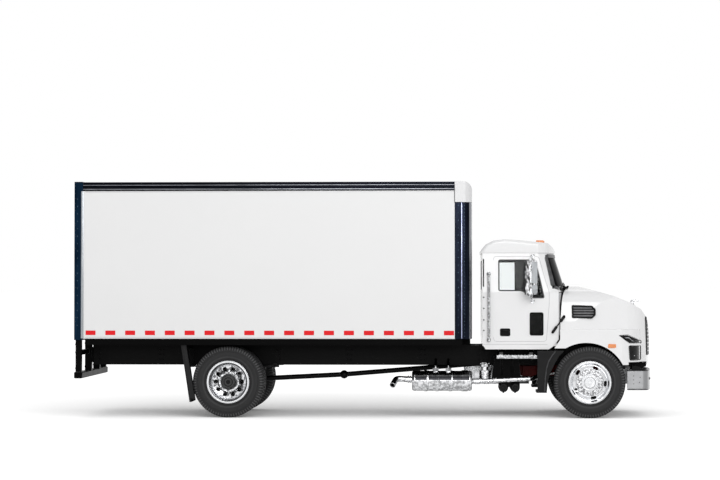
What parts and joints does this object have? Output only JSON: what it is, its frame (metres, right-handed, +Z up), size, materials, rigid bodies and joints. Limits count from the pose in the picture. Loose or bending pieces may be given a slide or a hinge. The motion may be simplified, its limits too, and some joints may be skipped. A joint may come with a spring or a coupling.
{
  "type": "scale model of a conventional-cab box truck",
  "caption": "Die-cast scale model of a box truck with a closed load box, tilting hood, steered front wheels and opening rear doors.",
  "frame": {"origin": "on the floor, under the middle of the model's length and width", "axes": "+X to the nose, +Y to the truck's left side, +Z up"},
  "size_m": [0.2528, 0.0822, 0.1028],
  "materials": {
    "body_white": "gloss paint",
    "box_white": "satin paint with red reflective dashes",
    "chrome": "mirror plating",
    "blue_chrome": "dark mirror plating",
    "frame_black": "satin black paint",
    "tyre": "matte tyre compound",
    "black_rubber": "matte",
    "black_plastic": "satin",
    "glass": "clear",
    "dark_glass": "dark gloss",
    "interior": "matte",
    "engine_red": "gloss enamel",
    "amber": "clear amber",
    "red_lens": "clear red"
  },
  "bodies": {
    "truck": {"frame_rails": "frame_black", "frame_crossmembers": "frame_black", "front_axle": "frame_black", "rear_axle": "frame_black", "leaf_springs": "frame_black", "driveshaft": "frame_black", "transmission": "engine_red", "engine": "engine_red", "radiator": "frame_black", "muffler": "chrome", "exhaust_pipes": "chrome", "battery_box": "frame_black", "air_tanks": "frame_black", "air_dryer": "chrome", "fuel_tank": "chrome", "cab_steps": "chrome", "splash_panels": "black_plastic", "rear_guard": "frame_black", "mud_flaps": "black_rubber", "box_floor": "frame_black", "box_left_wall": "box_white", "box_right_wall": "box_white", "box_front_wall": "box_white", "box_roof": "box_white", "box_top_rails": "blue_chrome", "box_front_posts": "blue_chrome", "box_nose_cap": "body_white", "box_rear_frame": "blue_chrome", "tail_lamps": "red_lens", "cab_shell": "body_white", "cab_roof": "body_white", "windshield": "glass", "cab_windows": "glass", "cab_interior": "interior", "steering_wheel": "black_plastic", "mirrors": "chrome", "grab_handles": "chrome", "cowl_panel": "black_plastic", "marker_lamps": "amber", "front_bumper": "chrome", "hood_hinge_brackets": "frame_black"},
    "hood": {"hood": "body_white", "headlights": "dark_glass", "grille": "black_plastic", "hood_vents": "black_plastic", "hood_ornament": "chrome", "hood_latches": "black_rubber"},
    "rear_left_door": {"rear_left_door": "box_white"},
    "rear_right_door": {"rear_right_door": "box_white"},
    "left_knuckle": {"left_knuckle": "frame_black"},
    "right_knuckle": {"right_knuckle": "frame_black"},
    "tie_rod": {"tie_rod": "frame_black"},
    "front_left_wheel": {"front_left_wheel": "chrome", "front_left_tyre": "tyre"},
    "front_right_wheel": {"front_right_wheel": "chrome", "front_right_tyre": "tyre"},
    "rear_left_wheels": {"rear_left_wheels": "chrome", "rear_left_tyres": "tyre"},
    "rear_right_wheels": {"rear_right_wheels": "chrome", "rear_right_tyres": "tyre"}
  },
  "joints": [
    {"name": "hood_tilt", "type": "hinge", "parent": "truck", "child": "hood", "pos_m": [0.1237, 0, 0.0226], "axis": [0, 1, 0], "range_deg": [0, 60]},
    {"name": "left_door_swing", "type": "hinge", "parent": "truck", "child": "rear_left_door", "pos_m": [-0.1247, 0.0334, 0.067], "axis": [0, 0, -1], "range_deg": [0, 100]},
    {"name": "right_door_swing", "type": "hinge", "parent": "truck", "child": "rear_right_door", "pos_m": [-0.1247, -0.0334, 0.067], "axis": [0, 0, 1], "range_deg": [0, 100]},
    {"name": "left_steering", "type": "hinge", "parent": "truck", "child": "left_knuckle", "pos_m": [0.0982, 0.0263, 0.0155], "axis": [0, 0, 1], "range_deg": [-18, 18]},
    {"name": "right_steering", "type": "hinge", "parent": "truck", "child": "right_knuckle", "pos_m": [0.0982, -0.0263, 0.0155], "axis": [0, 0, 1], "range_deg": [-18, 18]},
    {"name": "tie_rod_slide", "type": "slide", "parent": "truck", "child": "tie_rod", "axis": [0, -1, 0], "range_m": [-0.00175, 0.00175]},
    {"name": "front_left_spin", "type": "hinge", "parent": "left_knuckle", "child": "front_left_wheel", "pos_m": [0.0982, 0.0312, 0.0155], "axis": [0, 1, 0], "continuous": true},
    {"name": "front_right_spin", "type": "hinge", "parent": "right_knuckle", "child": "front_right_wheel", "pos_m": [0.0982, -0.0312, 0.0155], "axis": [0, 1, 0], "continuous": true},
    {"name": "rear_left_spin", "type": "hinge", "parent": "truck", "child": "rear_left_wheels", "pos_m": [-0.059, 0.027, 0.0155], "axis": [0, 1, 0], "continuous": true},
    {"name": "rear_right_spin", "type": "hinge", "parent": "truck", "child": "rear_right_wheels", "pos_m": [-0.059, -0.027, 0.0155], "axis": [0, 1, 0], "continuous": true}
  ],
  "couplings": [
    {"joint": "right_steering", "follows": "left_steering", "ratio": 1},
    {"joint": "tie_rod_slide", "follows": "left_steering", "m_per_rad": 0.0055}
  ]
}
